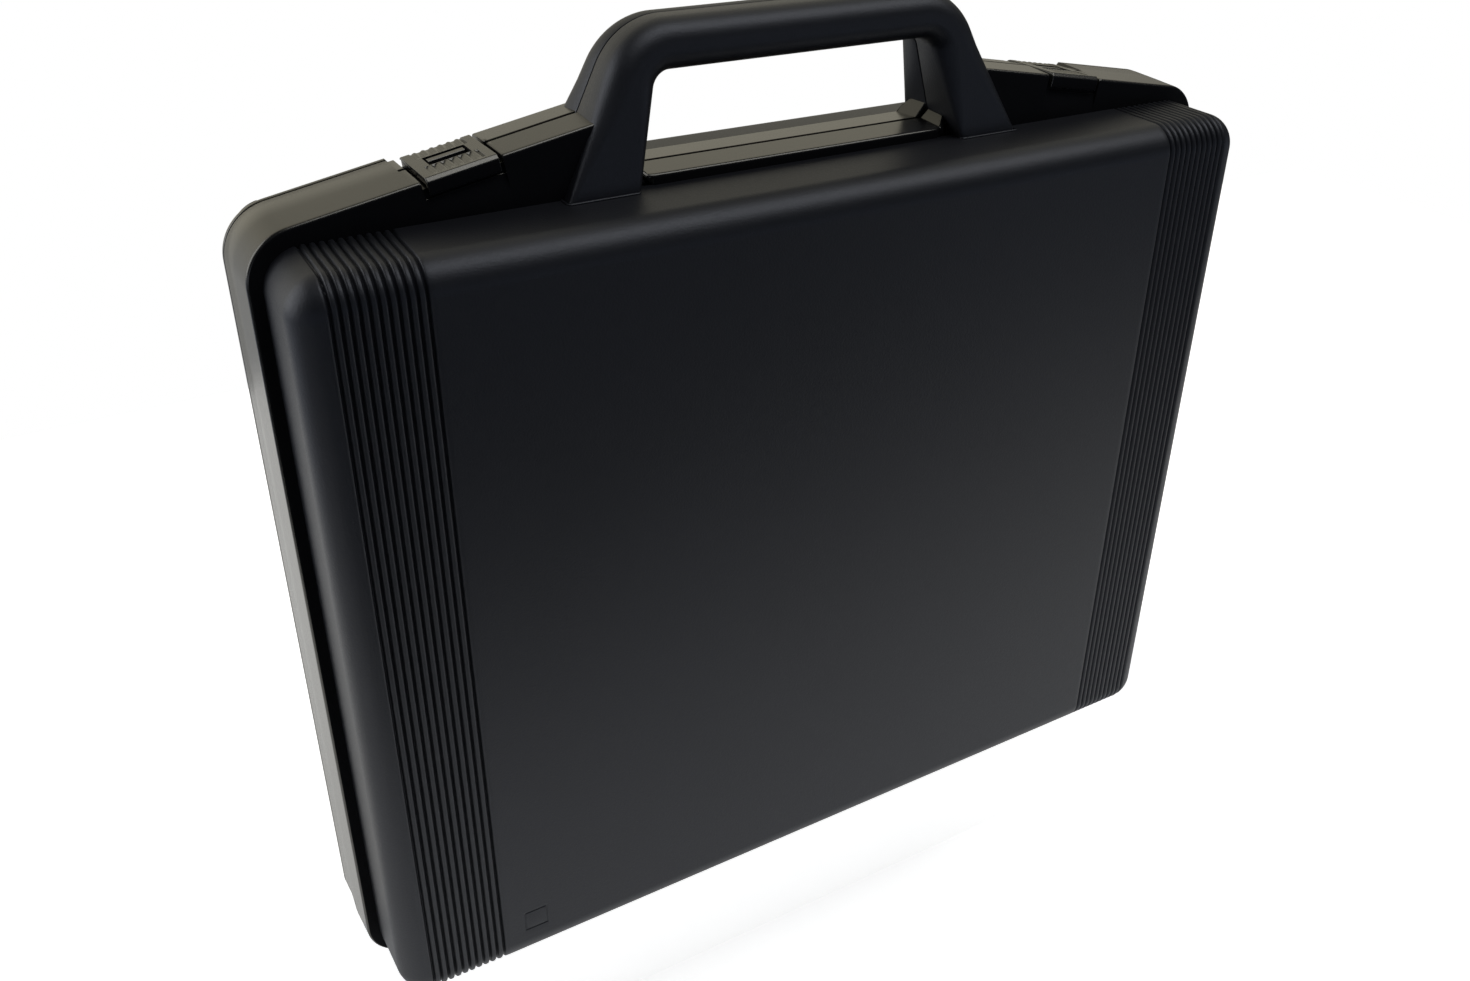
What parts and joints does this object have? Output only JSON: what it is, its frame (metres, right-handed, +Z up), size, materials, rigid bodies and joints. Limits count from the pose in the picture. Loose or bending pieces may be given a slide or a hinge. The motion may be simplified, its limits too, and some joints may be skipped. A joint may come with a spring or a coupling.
{
  "type": "hard chef knife case",
  "caption": "Flat upright hard case with a hinged front half, ribbed bands, a handle shared by both halves and flip latches.",
  "frame": {"origin": "on the floor, under the middle of the hinge edge that the case stands on, in the parting plane", "axes": "+Z up towards the handle, +X along the case to the right seen from the lid, the lid faces -Y"},
  "size_m": [0.459, 0.11, 0.4168],
  "materials": {
    "shell": "satin, fine moulded grain",
    "latch": "satin",
    "pin": "satin, drawn wire",
    "foam": "matte, open-cell foam"
  },
  "bodies": {
    "base": {"rear_shell": "shell", "base_foam": "foam", "hinge_pin_left": "pin", "hinge_pin_right": "pin", "latch_pin_left": "pin", "latch_pin_right": "pin"},
    "lid": {"front_shell": "shell", "lid_foam": "foam"},
    "latch_left": {"latch_left": "latch"},
    "latch_right": {"latch_right": "latch"}
  },
  "joints": [
    {"name": "lid_hinge", "type": "hinge", "parent": "base", "child": "lid", "pos_m": [0, 0, 0.0045], "axis": [1, 0, 0], "range_deg": [0, 100]},
    {"name": "latch_left_hinge", "type": "hinge", "parent": "base", "child": "latch_left", "pos_m": [-0.14612, 0.0126, 0.36923], "axis": [-0.9842, 0, -0.1772], "range_deg": [0, 95]},
    {"name": "latch_right_hinge", "type": "hinge", "parent": "base", "child": "latch_right", "pos_m": [0.14612, 0.0126, 0.36923], "axis": [-0.9842, 0, 0.1772], "range_deg": [0, 95]}
  ]
}
